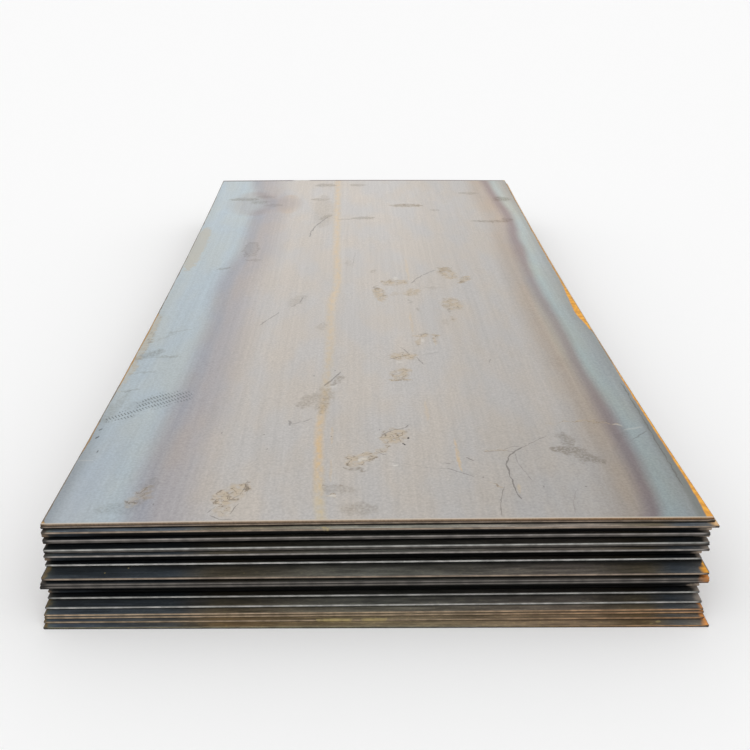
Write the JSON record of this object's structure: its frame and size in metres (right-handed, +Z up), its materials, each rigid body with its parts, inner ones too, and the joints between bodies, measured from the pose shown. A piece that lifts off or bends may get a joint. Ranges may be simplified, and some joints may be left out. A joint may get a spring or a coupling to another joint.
{
  "type": "stack of steel plates",
  "caption": "Stack of flat hot-rolled steel plates with mill scale, laid on each other with uneven ends.",
  "frame": {"origin": "on the floor, under the middle of the stack's outline", "axes": "+X across the plates, +Y along them away from the fanned near ends, +Z up"},
  "size_m": [1.5464, 3.1086, 0.2348],
  "materials": {
    "top_scale": "hot-rolled mill scale, weathered grey with rusty edges and shoe prints",
    "stack_scale": "dark blue-grey mill scale, rusty along the edges"
  },
  "bodies": {
    "root": {"plate_01": "stack_scale", "plate_02": "stack_scale", "plate_03": "stack_scale", "plate_04": "stack_scale", "plate_05": "stack_scale", "plate_06": "stack_scale", "plate_07": "stack_scale", "plate_08": "stack_scale", "plate_09": "stack_scale", "plate_10": "stack_scale", "plate_11": "stack_scale", "plate_12": "stack_scale", "plate_13": "stack_scale", "plate_14": "stack_scale", "plate_15": "stack_scale", "plate_16": "stack_scale", "plate_17": "stack_scale", "plate_18": "stack_scale", "plate_19": "stack_scale", "plate_20": "stack_scale", "plate_21": "stack_scale", "plate_22": "stack_scale", "plate_23": "stack_scale", "plate_24": "stack_scale", "plate_25": "stack_scale", "plate_26": "stack_scale", "plate_27": "stack_scale", "plate_28": "stack_scale", "plate_29": "stack_scale", "plate_30": "stack_scale", "plate_31": "stack_scale", "top_plate": "top_scale"}
  },
  "joints": []
}
